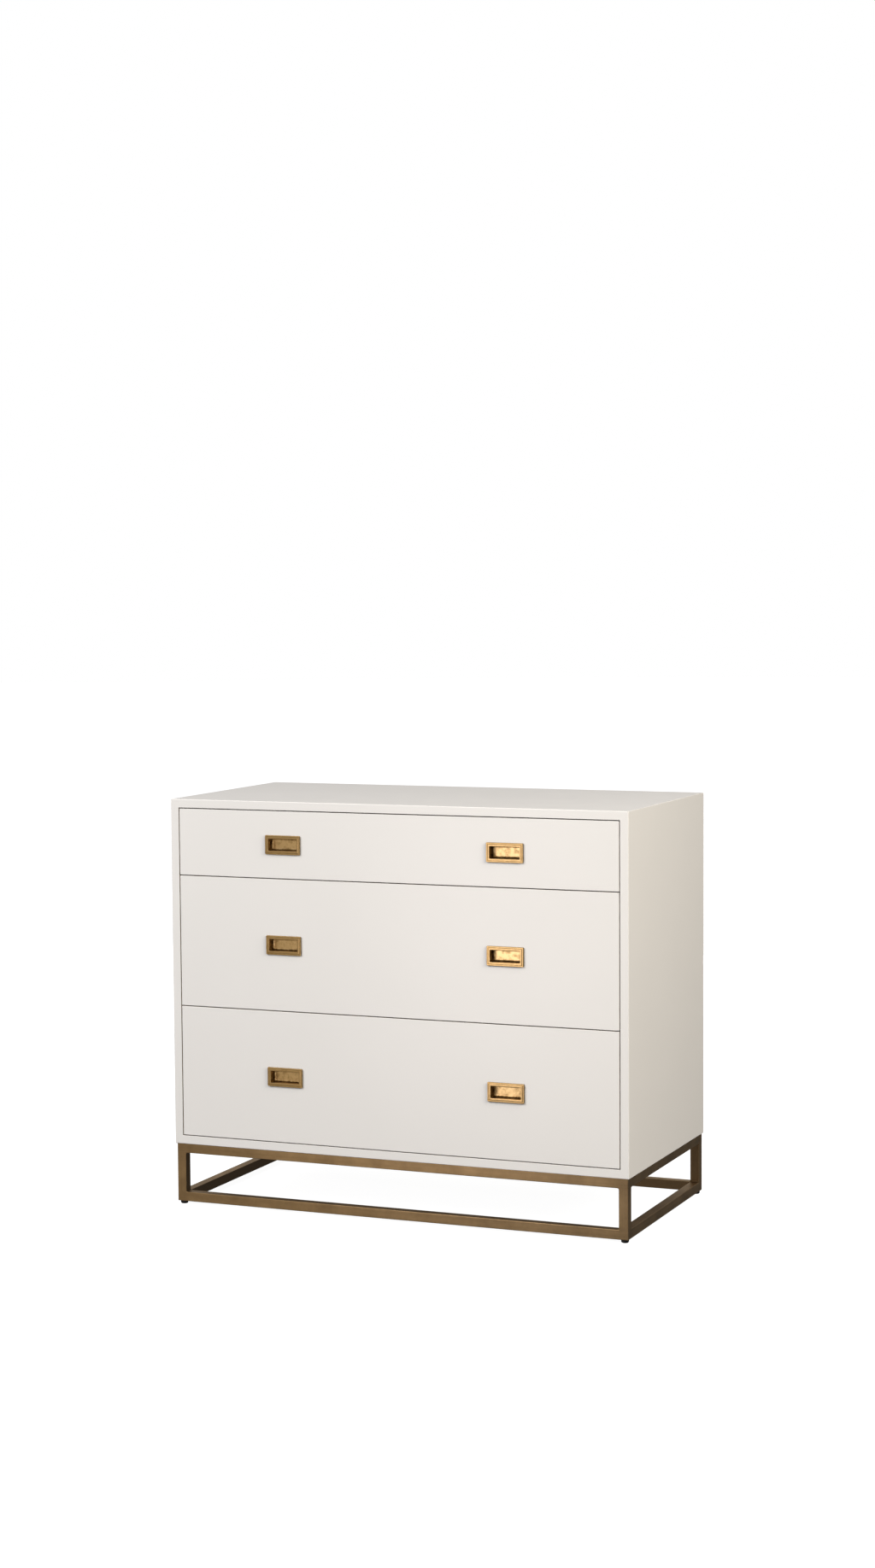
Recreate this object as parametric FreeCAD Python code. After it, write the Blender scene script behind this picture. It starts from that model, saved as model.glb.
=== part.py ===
"""Three-drawer campaign chest: a lacquered board case on a welded box-tube base.

The case is four mitred boards with a back let into a rebate, and two rails behind the drawer
fronts. Each drawer is a dovetailed box with an applied front, two flush pulls and a pair of
full-extension ball slides. The base is two mitred tube rings joined by four short legs.

Millimetres. +Z is up, the front faces -Y, and the origin is on the floor under the centre.
A node is one piece, or a group of like pieces, and main() writes one STEP file per node.
"""

import FreeCAD
import Part
import math
import os

V = FreeCAD.Vector
X_AXIS = V(1, 0, 0)
Y_AXIS = V(0, 1, 0)
Z_AXIS = V(0, 0, 1)
SIDES = {"left": -1, "right": 1}

# ---------------------------------------------------------------- driving dimensions
# Case
case_width = 1016.0
case_depth = 500.0
case_height = 735.0
board = 18.0
outer_round = 1.5
inner_round = 0.6
back_board = 6.0
back_rebate = 9.0

# Drawer fronts
reveal = 2.0
top_front_height = 140.0
front_thickness = 20.0
front_round = 0.8

# Drawer boxes
box_board = 12.0
box_back_gap = 24.0
box_rise = 16.0
box_drop = 22.0
box_base = 6.0
box_base_rise = 10.0
groove = 6.0
tail_pitch = 45.0
tail_share = 0.62
tail_slope = 1.0 / 7.0

# Rails between the drawers
rail_height = 22.0
rail_depth = 60.0
rail_setback = 1.0

# Flush pulls
pull_width = 80.0
pull_height = 40.0
pull_proud = 4.0
pull_bevel = 1.8
pull_lip = 2.4
pull_lip_rise = 0.8
pull_opening_width = 65.0
pull_opening_height = 25.0
pull_wall = 2.5
pull_floor = 1.5
pull_depth = 15.0
pull_corner = 2.2
pull_cup_corner = 3.0
pull_offset = 247.0
pull_fit = 0.3
boss_radius = 3.5
boss_spacing = 44.0
boss_clearance = 0.2
boss_cover = 1.2

# Base
tube = 20.0
tube_wall = 1.5
tube_round = 1.0
base_height = 124.0
base_inset = 3.0

# Floor glides
glide_height = 7.0
glide_radius = 8.0
glide_round = 3.5
glide_stem_radius = 4.0
glide_stem = 9.0
glide_barb = 0.5
glide_barb_height = 2.0
glide_clearance = 0.1

# Ball slides, seen along the drawer: x runs from the case board to the drawer side
slide_setback = 2.0
slide_width = 12.7
slide_height = 45.0
slide_rise = 51.0
sheet = 1.2
ball = 3.2
ball_clearance = 0.1
cage_sheet = 0.6
slide_gap = 0.3
slide_flange = 10.0
slide_lip = 1.0
ball_line = 6.4
balls_per_row = 6
travel_reserve = 10.0
cage_reserve = 10.0

# Fasteners
dowel_radius = 4.0
dowel_length = 34.0
dowel_in_board = 10.5
dowel_spacing = 30.0
mitre_dowel_radius = 3.0
mitre_dowel_cover = 1.2
mitre_dowels = 6
slide_screw_radius = 1.75
slide_screw_head = 3.5
slide_screw_length = 11.0
slide_screws = 3
slide_screw_inset = 75.0
back_screw_radius = 1.75
back_screw_head = 3.5
back_screw_length = 22.0
back_screws_up = 4
back_screws_across = 4
back_screw_inset = 60.0
front_screw_radius = 2.0
front_screw_head = 4.0
front_screw_head_height = 2.4
front_screw_cover = 8.0
front_screws_across = 3
front_screw_inset = 67.0
front_screw_rise = 24.0
front_screw_drop = 12.0
pull_screw_radius = 1.75
pull_screw_head = 3.5
pull_screw_head_height = 2.1
pull_screw_cover = 1.5
base_screw_radius = 2.5
base_screw_head = 4.8
base_screw_head_height = 3.0
base_screw_length = 15.0
base_screws_across = 3
base_screw_inset = 110.0
base_access_radius = 6.0
base_screw_clearance = 0.2
thread_clearance = 0.05
crown_share = 0.6

# ---------------------------------------------------------------- places that follow
half_width = case_width / 2
front_y = -(case_depth + pull_proud) / 2 + pull_proud
back_y = front_y + case_depth
base_z = glide_height
case_z = base_z + base_height
case_top = case_z + case_height
inner_half = half_width - board
inner_low = case_z + board
inner_high = case_top - board
lower_front_height = (inner_high - inner_low - top_front_height - 4 * reveal) / 2
front_half = inner_half - reveal
box_half = inner_half - slide_width
box_front_y = front_y + front_thickness
box_back_y = back_y - back_board - box_back_gap
slide_y = box_front_y + slide_setback
slide_length = box_back_y - box_front_y
drawer_travel = slide_length - travel_reserve
cage_length = slide_length - drawer_travel / 2 - cage_reserve
cage_y = slide_y + (slide_length - cage_length) / 2

FRONTS = {
    "bottom": (inner_low + reveal, lower_front_height),
    "middle": (inner_low + 2 * reveal + lower_front_height, lower_front_height),
    "top": (inner_high - reveal - top_front_height, top_front_height),
}
RAIL_LINES = {
    "lower": FRONTS["middle"][0] - reveal / 2,
    "upper": FRONTS["top"][0] - reveal / 2,
}


# ---------------------------------------------------------------- small shape helpers
def block(low, high):
    """A box between two corners."""
    return Part.makeBox(high[0] - low[0], high[1] - low[1], high[2] - low[2], V(*low))


def rod(radius, start, end):
    """A cylinder from one point to another."""
    run = V(*end) - V(*start)
    return Part.makeCylinder(radius, run.Length, V(*start), run)


def prism(points, direction):
    """A closed outline pushed along a direction."""
    loop = [V(*p) for p in points]
    return Part.Face(Part.makePolygon(loop + loop[:1])).extrude(direction)


def on_line(edge, tests):
    """True where every vertex of an edge passes all of the (axis, value) tests."""
    return all(
        abs(getattr(vertex.Point, axis) - value) < 1e-4
        for vertex in edge.Vertexes
        for axis, value in tests
    )


def rounded(shape, radius, *lines):
    """Rounds the edges that lie on any of the given lines, each a list of (axis, value)."""
    picked = [e for e in shape.Edges if any(on_line(e, tests) for tests in lines)]
    return shape.makeFillet(radius, picked)


def spread(low, high, count, inset):
    """Evenly spaced places between two ends, with the first and last one inset from them."""
    step = (high - low - 2 * inset) / (count - 1)
    return [low + inset + step * n for n in range(count)]


def one_solid(shape):
    """The single solid that a shape must come down to."""
    whole = shape.removeSplitter()
    if len(whole.Solids) != 1:
        raise ValueError(f"{len(whole.Solids)} solids where one was meant")
    return whole.Solids[0]


def edges_along(shape, axis):
    """The straight edges of a shape that run along one axis."""
    return [e for e in shape.Edges if abs(getattr(e.tangentAt(e.FirstParameter), axis)) > 0.999]


def sunk_screw(radius, head, length, seat, direction):
    """A countersunk screw whose flat head lies in the face at seat."""
    run = V(*direction)
    cone = Part.makeCone(head, radius, head - radius, V(*seat), run)
    shank = Part.makeCylinder(radius, length, V(*seat), run)
    return one_solid(cone.fuse(shank))


def pan_screw(radius, head, head_height, length, seat, direction):
    """A domed-head screw whose head stands on the face at seat and whose shank goes in."""
    run = V(*direction)
    cap = Part.makeCylinder(head, head_height, V(*seat) - run * head_height, run)
    crown = V(*seat) - run * head_height
    rim = [e for e in cap.Edges if (e.CenterOfMass - crown).Length < 1e-6]
    cap = cap.makeFillet(head_height * crown_share, rim)
    return one_solid(cap.fuse(Part.makeCylinder(radius, length, V(*seat), run)))


def mirrored(shape):
    """The same shape on the other side of the chest."""
    return shape.mirror(V(0, 0, 0), X_AXIS)


def sided(shape, side):
    """A shape drawn for the right-hand side, put on the side asked for."""
    return shape if SIDES[side] > 0 else mirrored(shape)


# ---------------------------------------------------------------- fasteners and their holes
def mitre_dowel_shapes():
    """Dowels square to the four corner mitres."""
    shapes = []
    pitch = (case_depth - back_board) / mitre_dowels
    half = (board / 2 - mitre_dowel_cover) * math.sqrt(2) - mitre_dowel_radius
    for x_sign in (-1, 1):
        for z, z_sign in ((case_z + board / 2, -1), (case_top - board / 2, 1)):
            run = V(x_sign, 0, -z_sign) * (half / math.sqrt(2))
            for n in range(mitre_dowels):
                middle = V(x_sign * (half_width - board / 2), front_y + pitch * (n + 0.5), z)
                shapes.append(rod(mitre_dowel_radius, middle - run, middle + run))
    return shapes


def rail_middle_y():
    """The middle of the rails' depth."""
    return box_front_y + rail_setback + rail_depth / 2


def rail_dowel_shapes():
    """Two dowels at each end of each rail, half in the side boards."""
    shapes = []
    for z in RAIL_LINES.values():
        for side in (-1, 1):
            outer = side * (inner_half + dowel_in_board)
            inner = outer - side * dowel_length
            for step in (-0.5, 0.5):
                y = rail_middle_y() + step * dowel_spacing
                shapes.append(rod(dowel_radius, (inner, y, z), (outer, y, z)))
    return shapes


def slide_screw_stations():
    """How far along each slide its screws stand."""
    return spread(slide_y, slide_y + slide_length, slide_screws, slide_screw_inset)


def case_slide_screws():
    """Countersunk screws through the case channels into the side boards."""
    shapes = []
    for low, _ in FRONTS.values():
        z = low + box_rise + slide_rise
        for y in slide_screw_stations():
            screw = sunk_screw(slide_screw_radius, slide_screw_head, slide_screw_length,
                               (inner_half - sheet, y, z), (1, 0, 0))
            shapes += [screw, mirrored(screw)]
    return shapes


def back_screw_shapes():
    """Countersunk screws through the back into the rebate's shoulder on all four boards."""
    places = []
    for z in spread(inner_low, inner_high, back_screws_up, back_screw_inset):
        places += [(side * (inner_half + back_rebate / 2), z) for side in (-1, 1)]
    for x in spread(-inner_half, inner_half, back_screws_across, back_screw_inset):
        places += [(x, inner_low - back_rebate / 2), (x, inner_high + back_rebate / 2)]
    return [
        sunk_screw(back_screw_radius, back_screw_head, back_screw_length, (x, back_y, z), (0, -1, 0))
        for x, z in places
    ]


def base_screw_places():
    """Where the base is screwed up into the case, on the centre lines of its top tubes."""
    x = half_width - base_inset - tube / 2
    front = front_y + base_inset + tube / 2
    back = back_y - base_inset - tube / 2
    across = spread(-x, x, base_screws_across, base_screw_inset)
    places = [(at, y) for at in across for y in (front, back)]
    return places + [(side * x, (front + back) / 2) for side in (-1, 1)]


def base_screw_shapes():
    """Domed screws inside the top tubes, up into the case."""
    seat = case_z - tube_wall
    return [
        pan_screw(base_screw_radius, base_screw_head, base_screw_head_height,
                  base_screw_length, (x, y, seat), (0, 0, 1))
        for x, y in base_screw_places()
    ]


# ---------------------------------------------------------------- case
def case_envelope():
    """The outside of the case, with its arrises eased."""
    whole = block((-half_width, front_y, case_z), (half_width, back_y, case_top))
    return whole.makeFillet(outer_round, whole.Edges)


def back_blank():
    """The back board's block, which is also what its rebate takes out of the case."""
    return block(
        (-inner_half - back_rebate, back_y - back_board, inner_low - back_rebate),
        (inner_half + back_rebate, back_y, inner_high + back_rebate),
    )


def case_board(outline, inner_edge):
    """One mitred board from its front outline, with the rebate and every hole cut."""
    body = prism(outline, Y_AXIS * case_depth)
    body = rounded(body, inner_round, inner_edge + [("y", front_y)])
    body = body.common(case_envelope()).cut(back_blank())
    holes = mitre_dowel_shapes() + rail_dowel_shapes() + case_slide_screws()
    holes += back_screw_shapes() + base_screw_shapes()
    near = [h for h in holes if h.BoundBox.intersect(body.BoundBox)]
    return body.cut(Part.makeCompound(near))


def level_board(outer_z, inner_z):
    """The top or the bottom board, from its outer face's height and its inner face's."""
    outline = [
        (-half_width, front_y, outer_z),
        (half_width, front_y, outer_z),
        (inner_half, front_y, inner_z),
        (-inner_half, front_y, inner_z),
    ]
    return case_board(outline, [("z", inner_z)])


def side_board(side):
    """A side board, the full height of the case."""
    outline = [
        (half_width, front_y, case_z),
        (half_width, front_y, case_top),
        (inner_half, front_y, inner_high),
        (inner_half, front_y, inner_low),
    ]
    return sided(case_board(outline, [("x", inner_half)]), side)


def back_panel():
    """The thin back board, countersunk for its screws."""
    return back_blank().cut(Part.makeCompound(back_screw_shapes()))


def rail(line):
    """A flat rail behind the gap between two drawer fronts."""
    low = rail_middle_y() - rail_depth / 2
    z = RAIL_LINES[line]
    body = block((-inner_half, low, z - rail_height / 2),
                 (inner_half, low + rail_depth, z + rail_height / 2))
    body = rounded(body, inner_round, [("y", low), ("z", z + rail_height / 2)],
                   [("y", low), ("z", z - rail_height / 2)])
    return body.cut(Part.makeCompound(rail_dowel_shapes()))


# ---------------------------------------------------------------- base
def ring_outline(low, high):
    """The plan of a tube ring as a plate with rounded corners, from low to high."""
    plate = block(
        (-half_width + base_inset, front_y + base_inset, low),
        (half_width - base_inset, back_y - base_inset, high),
    )
    return plate.makeFillet(tube_round, edges_along(plate, "z"))


def hollow_bar(size, axis):
    """A square tube along an axis, open at both ends, with one corner at the origin."""
    outside = block((0, 0, 0), size)
    outside = outside.makeFillet(tube_round, edges_along(outside, axis))
    low = [0.0 if name == axis else tube_wall for name in "xyz"]
    high = [s if name == axis else s - tube_wall for name, s in zip("xyz", size)]
    return outside.cut(block(low, high))


def ring_tube(edge, low):
    """One mitred tube of a ring: edge is front, back, left or right."""
    x = half_width - base_inset
    y_front = front_y + base_inset
    y_back = back_y - base_inset
    if edge in ("front", "back"):
        bar = hollow_bar((2 * x, tube, tube), "x")
        bar.translate(V(-x, y_front if edge == "front" else y_back - tube, low))
        near, far = (y_front, y_front + tube) if edge == "front" else (y_back, y_back - tube)
        plan = [(-x, near, low), (x, near, low), (x - tube, far, low), (-x + tube, far, low)]
    else:
        bar = hollow_bar((tube, y_back - y_front, tube), "y")
        bar.translate(V(-x if edge == "left" else x - tube, y_front, low))
        near, far = SIDES[edge] * x, SIDES[edge] * (x - tube)
        inner = [(far, y_back - tube, low), (far, y_front + tube, low)]
        plan = [(near, y_front, low), (near, y_back, low)] + inner
    body = bar.common(prism(plan, Z_AXIS * tube)).common(ring_outline(low, low + tube))
    holes = glide_holes() if low == base_z else base_screw_holes()
    return one_solid(body.cut(Part.makeCompound(holes)))


def corner_middles():
    """The centre of each corner of the base, by name."""
    x = half_width - base_inset - tube / 2
    ends = {"front": front_y + base_inset + tube / 2, "back": back_y - base_inset - tube / 2}
    return {f"{end}_{side}": (sign * x, y) for end, y in ends.items() for side, sign in SIDES.items()}


def leg(corner, rings):
    """A leg whose walls run out over the rings' rounded edges, as their ground-off welds do."""
    x, y = corner_middles()[corner]
    bar = hollow_bar((tube, tube, base_height - 2 * tube + 2 * tube_round), "z")
    bar.translate(V(x - tube / 2, y - tube / 2, base_z + tube - tube_round))
    return one_solid(bar.cut(Part.makeCompound(rings)))


def glide_holes():
    """Holes through the bottom ring's lower wall, centred on its mitres."""
    return [
        rod(glide_stem_radius + glide_clearance, (x, y, base_z - 1), (x, y, base_z + tube_wall + 1))
        for x, y in corner_middles().values()
    ]


def base_screw_holes():
    """Clearance through the upper wall and a wider way in through the lower wall."""
    low = case_z - tube
    radius = base_screw_radius + base_screw_clearance
    holes = []
    for x, y in base_screw_places():
        holes.append(rod(radius, (x, y, case_z - tube_wall - 1), (x, y, case_z + 1)))
        holes.append(rod(base_access_radius, (x, y, low - 1), (x, y, low + tube_wall + 1)))
    return holes


def glides():
    """Push-in plastic glides: a round-edged button and a barbed stem in the tube's corner."""
    barb_z = glide_height + tube_wall + glide_clearance
    button = Part.makeCylinder(glide_radius, glide_height)
    button = button.makeFillet(glide_round, [e for e in button.Edges if on_line(e, [("z", 0)])])
    stem = Part.makeCylinder(glide_stem_radius, glide_height + glide_stem)
    barb = Part.makeCone(
        glide_stem_radius + glide_barb, glide_stem_radius, glide_barb_height, V(0, 0, barb_z)
    )
    whole = one_solid(button.multiFuse([stem, barb]))
    return [whole.translated(V(x, y, 0)) for x, y in corner_middles().values()]


# ---------------------------------------------------------------- ball slides
def slide_z(drawer):
    """The height of a drawer's slides, at their middle."""
    return FRONTS[drawer][0] + box_rise + slide_rise


def channel(web_x, flange_end, half, thickness, lip=0.0):
    """A C section as (x, z) rectangles: a web at web_x and two flanges reaching to flange_end."""
    reach = sorted((web_x, flange_end))
    web = sorted((web_x, web_x + math.copysign(thickness, flange_end - web_x)))
    parts = [((web[0], -half), (web[1], half))]
    for sign in (-1, 1):
        z = sorted((sign * half, sign * (half - thickness)))
        parts.append(((reach[0], z[0]), (reach[1], z[1])))
        if lip:
            tip = sorted((flange_end, flange_end + math.copysign(thickness, web_x - flange_end)))
            z = sorted((sign * (half - thickness), sign * (half - thickness - lip)))
            parts.append(((tip[0], z[0]), (tip[1], z[1])))
    return parts


def stage_heights():
    """Half heights of the case, middle and drawer sections."""
    step = ball + 2 * ball_clearance
    case_half = slide_height / 2
    middle_half = case_half - sheet - step
    drawer_half = middle_half - sheet - step
    return case_half, middle_half, drawer_half


def row_heights():
    """How far above and below the middle the outer and the inner balls run."""
    case_half, middle_half, _ = stage_heights()
    step = ball / 2 + ball_clearance
    return case_half - sheet - step, middle_half - sheet - step


def stage_webs():
    """Where each web stands, counted from the case board: case, outer cage, middle, inner cage."""
    outer_cage = sheet + slide_gap
    middle = outer_cage + cage_sheet + slide_gap
    inner_cage = middle + sheet + slide_gap
    return 0.0, outer_cage, middle, inner_cage


def section_solid(parts, drawer, start, length):
    """Rectangles of a section, x from the right-hand case board inwards, run along the slide."""
    z0 = slide_z(drawer)
    solids = [
        block(
            (inner_half - high[0], start, z0 + low[1]),
            (inner_half - low[0], start + length, z0 + high[1]),
        )
        for low, high in parts
    ]
    return one_solid(solids[0].multiFuse(solids[1:]))


def both_sides(shapes):
    """Shapes drawn for the right-hand side, and their mirror images."""
    return shapes + [mirrored(s) for s in shapes]


def slide_case_channels():
    """The outermost channels, screwed to the side boards."""
    shapes = []
    for drawer in FRONTS:
        parts = channel(0.0, slide_flange, stage_heights()[0], sheet, slide_lip)
        body = section_solid(parts, drawer, slide_y, slide_length)
        shapes.append(body.cut(Part.makeCompound(case_slide_screws())))
    return both_sides(shapes)


def slide_middle_members(drawer):
    """The middle channels, which run half as far as the drawer."""
    web = stage_webs()[2]
    parts = channel(web, slide_flange + slide_gap, stage_heights()[1], sheet)
    return both_sides([section_solid(parts, drawer, slide_y, slide_length)])


def slide_drawer_members(drawer):
    """The innermost channels, screwed to the drawer's sides and open towards the case."""
    flange_end = stage_webs()[3] + cage_sheet + slide_gap
    parts = channel(slide_width, flange_end, stage_heights()[2], sheet)
    body = section_solid(parts, drawer, slide_y, slide_length)
    return both_sides([body.cut(Part.makeCompound(drawer_slide_screws(drawer)))])


def ball_cages(drawer, stage):
    """A C-shaped retainer with its two rows of balls, on both sides; stage 0 is the outer one."""
    web = (stage_webs()[1], stage_webs()[3])[stage]
    row = row_heights()[stage]
    flange_end = slide_flange - slide_gap - sheet * (1 - stage)
    parts = channel(web, flange_end, row + cage_sheet / 2, cage_sheet)
    body = section_solid(parts, drawer, cage_y, cage_length)
    balls = []
    for n in range(balls_per_row):
        y = cage_y + cage_length * (n + 0.5) / balls_per_row
        for sign in (-1, 1):
            middle = V(inner_half - ball_line - stage * slide_gap, y, slide_z(drawer) + sign * row)
            body = body.cut(rod(ball / 2 + ball_clearance, middle - Z_AXIS, middle + Z_AXIS))
            balls.append(Part.makeSphere(ball / 2, middle))
    return both_sides([body] + balls)


# ---------------------------------------------------------------- drawers
def box_levels(drawer):
    """Bottom and top of a drawer's box."""
    low, height = FRONTS[drawer]
    return low + box_rise, low + height - box_drop


def dovetails(drawer, y_end, inward):
    """The right-hand side's tails at one end, as one solid per tail."""
    low, high = box_levels(drawer)
    count = max(2, round((high - low) / tail_pitch))
    pitch = (high - low) / count
    wide = pitch * tail_share / 2
    narrow = wide - box_board * tail_slope
    tails = []
    for n in range(count):
        z = low + pitch * (n + 0.5)
        base = y_end + inward * box_board
        outline = [
            (box_half - box_board, y_end, z - wide), (box_half - box_board, y_end, z + wide),
            (box_half - box_board, base, z + narrow), (box_half - box_board, base, z - narrow),
        ]
        tails.append(prism(outline, X_AXIS * box_board))
    return tails


def box_tails(drawer):
    """The right-hand side's tails at both ends."""
    return dovetails(drawer, box_front_y, 1) + dovetails(drawer, box_back_y, -1)


def box_bottom_blank(drawer):
    """The drawer's bottom, which is also what its groove takes out of the four boards."""
    z = box_levels(drawer)[0] + box_base_rise
    x = box_half - box_board + groove
    return block(
        (-x, box_front_y + box_board - groove, z),
        (x, box_back_y - box_board + groove, z + box_base),
    )


def box_side(drawer, side):
    """A side of the box, with its tails, groove and slide screw holes."""
    low, high = box_levels(drawer)
    body = block(
        (box_half - box_board, box_front_y + box_board, low),
        (box_half, box_back_y - box_board, high),
    )
    body = one_solid(body.multiFuse(box_tails(drawer)))
    body = body.cut(box_bottom_blank(drawer)).cut(Part.makeCompound(drawer_slide_screws(drawer)))
    return sided(body, side)


def box_end(drawer, low_y):
    """The box's front or back board between the sides' outer faces, cut round their tails."""
    low, high = box_levels(drawer)
    body = block((-box_half, low_y, low), (box_half, low_y + box_board, high))
    tails = box_tails(drawer)
    body = body.cut(Part.makeCompound(tails + [mirrored(t) for t in tails]))
    return body.cut(box_bottom_blank(drawer))


def box_front(drawer):
    """The box's own front, drilled for the screws of the applied front and the pulls."""
    holes = front_screw_shapes(drawer) + pull_screw_shapes(drawer, thread_clearance)
    return box_end(drawer, box_front_y).cut(Part.makeCompound(holes))


def pull_centres(drawer):
    """Where the pulls' middles stand, by side, as (x, z)."""
    low, height = FRONTS[drawer]
    return {side: (sign * pull_offset, low + height / 2) for side, sign in SIDES.items()}


def cup_blank(centre, fit, depth):
    """The block that the pull's cup fills behind the front's face."""
    x, z = centre
    half_x = pull_opening_width / 2 + pull_wall + fit
    half_z = pull_opening_height / 2 + pull_wall + fit
    body = block((x - half_x, front_y, z - half_z), (x + half_x, front_y + depth, z + half_z))
    return body.makeFillet(pull_cup_corner, edges_along(body, "y"))


def boss_ends(centre):
    """Where a pull's two bosses stand, as (x, z)."""
    x, z = centre
    return [(x + step * boss_spacing, z) for step in (-0.5, 0.5)]


def drawer_front(drawer):
    """The lacquered front, pocketed for both pulls and their bosses."""
    low, height = FRONTS[drawer]
    body = block((-front_half, front_y, low), (front_half, box_front_y, low + height))
    body = body.makeFillet(front_round, body.Edges)
    cuts = front_screw_shapes(drawer) + pull_screw_shapes(drawer, thread_clearance)
    for centre in pull_centres(drawer).values():
        cuts.append(cup_blank(centre, pull_fit, pull_depth + pull_fit))
        for x, z in boss_ends(centre):
            start = (x, front_y + pull_depth, z)
            cuts.append(rod(boss_radius + boss_clearance, start, (x, box_front_y - boss_cover, z)))
    return body.cut(Part.makeCompound(cuts))


def bezel(centre):
    """The pull's plate on the front's face, bevelled outside and with a lip round its opening."""
    x, z = centre
    plate_y = front_y - pull_proud + pull_lip_rise
    half_x, half_z = pull_width / 2, pull_height / 2
    plate = block((x - half_x, plate_y, z - half_z), (x + half_x, front_y, z + half_z))
    plate = plate.makeFillet(pull_corner, edges_along(plate, "y"))
    plate = plate.makeChamfer(pull_bevel, [e for e in plate.Edges if on_line(e, [("y", plate_y)])])
    lip_x = pull_opening_width / 2 + pull_lip
    lip_z = pull_opening_height / 2 + pull_lip
    lip = block((x - lip_x, front_y - pull_proud, z - lip_z), (x + lip_x, front_y, z + lip_z))
    return plate.fuse(lip)


def flush_pull(drawer, side):
    """A cast flush pull: bezel, open cup and two threaded bosses behind."""
    centre = pull_centres(drawer)[side]
    x, z = centre
    mouth_y = front_y - pull_proud - 1
    body = bezel(centre).fuse(cup_blank(centre, 0.0, pull_depth))
    boss_y = box_front_y - boss_cover - boss_clearance
    for boss_x, boss_z in boss_ends(centre):
        root = (boss_x, front_y + pull_depth - pull_floor / 2, boss_z)
        body = body.fuse(rod(boss_radius, root, (boss_x, boss_y, boss_z)))
    hollow = block(
        (x - pull_opening_width / 2, mouth_y, z - pull_opening_height / 2),
        (x + pull_opening_width / 2, front_y + pull_depth - pull_floor, z + pull_opening_height / 2),
    )
    inside = [e for e in hollow.Edges if not on_line(e, [("y", mouth_y)])]
    body = body.cut(hollow.makeFillet(pull_cup_corner, inside))
    body = body.cut(Part.makeCompound(pull_screw_shapes(drawer, thread_clearance)))
    return one_solid(body)


def drawer_slide_screws(drawer):
    """Countersunk screws through the drawer members into the box sides."""
    shapes = []
    for y in slide_screw_stations():
        seat = (box_half + sheet, y, slide_z(drawer))
        screw = sunk_screw(slide_screw_radius, slide_screw_head, slide_screw_length, seat, (-1, 0, 0))
        shapes += [screw, mirrored(screw)]
    return shapes


def front_screw_shapes(drawer):
    """Screws from inside the box that hold the applied front."""
    low, high = box_levels(drawer)
    seat_y = box_front_y + box_board
    return [
        pan_screw(front_screw_radius, front_screw_head, front_screw_head_height,
                  box_board + front_thickness - front_screw_cover, (x, seat_y, z), (0, -1, 0))
        for x in spread(-box_half, box_half, front_screws_across, front_screw_inset)
        for z in (low + front_screw_rise, high - front_screw_drop)
    ]


def pull_screw_shapes(drawer, clearance=0.0):
    """Machine screws from inside the box into the pulls' bosses."""
    seat_y = box_front_y + box_board
    reach = box_board + front_thickness - pull_depth + pull_floor - pull_screw_cover
    return [
        pan_screw(pull_screw_radius + clearance, pull_screw_head, pull_screw_head_height,
                  reach + clearance, (x, seat_y, z), (0, -1, 0))
        for centre in pull_centres(drawer).values()
        for x, z in boss_ends(centre)
    ]


def drawer_nodes(drawer):
    """Every node of one drawer, by name, with the slide pieces that move with or behind it."""
    name = f"{drawer}_drawer"
    nodes = {
        f"{name}_front": [drawer_front(drawer)],
        f"{name}_box_front": [box_front(drawer)],
        f"{name}_box_back": [box_end(drawer, box_back_y - box_board)],
        f"{name}_box_bottom": [box_bottom_blank(drawer)],
        f"{name}_screws": (
            front_screw_shapes(drawer) + pull_screw_shapes(drawer) + drawer_slide_screws(drawer)
        ),
        f"{name}_slide_members": slide_drawer_members(drawer),
        f"{name}_slide_middles": slide_middle_members(drawer),
        f"{name}_outer_ball_cages": ball_cages(drawer, 0),
        f"{name}_inner_ball_cages": ball_cages(drawer, 1),
    }
    for side in SIDES:
        nodes[f"{name}_box_{side}_side"] = [box_side(drawer, side)]
        nodes[f"{name}_{side}_pull"] = [flush_pull(drawer, side)]
    return nodes


def case_nodes():
    """Every node of the case, by name."""
    return {
        "top_panel": [level_board(case_top, inner_high)],
        "bottom_panel": [level_board(case_z, inner_low)],
        "left_side_panel": [side_board("left")],
        "right_side_panel": [side_board("right")],
        "back_panel": [back_panel()],
        "upper_rail": [rail("upper")],
        "lower_rail": [rail("lower")],
        "case_dowels": mitre_dowel_shapes() + rail_dowel_shapes(),
        "case_screws": case_slide_screws() + back_screw_shapes(),
        "slide_case_channels": slide_case_channels(),
    }


def base_nodes():
    """Every node of the base, by name."""
    nodes = {}
    for ring, low in (("top", case_z - tube), ("bottom", base_z)):
        for edge in ("front", "back", "left", "right"):
            nodes[f"base_{ring}_{edge}_tube"] = [ring_tube(edge, low)]
    rings = [tube_solid for solids in nodes.values() for tube_solid in solids]
    nodes["base_legs"] = [leg(corner, rings) for corner in corner_middles()]
    nodes["base_screws"] = base_screw_shapes()
    nodes["floor_glides"] = glides()
    return nodes


def main():
    os.makedirs("parts", exist_ok=True)
    nodes = {**case_nodes(), **base_nodes()}
    for drawer in FRONTS:
        nodes.update(drawer_nodes(drawer))
    for name, solids in nodes.items():
        shape = solids[0] if len(solids) == 1 else Part.makeCompound(solids)
        faults = [s for s in solids if not s.isValid() or len(s.Solids) != 1 or s.Volume <= 0]
        if faults:
            raise ValueError(f"{name} has {len(faults)} faulty solids")
        shape.exportStep(f"parts/{name}.step")
    print(len(nodes), "nodes,", sum(len(s) for s in nodes.values()), "solids")


main()
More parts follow.
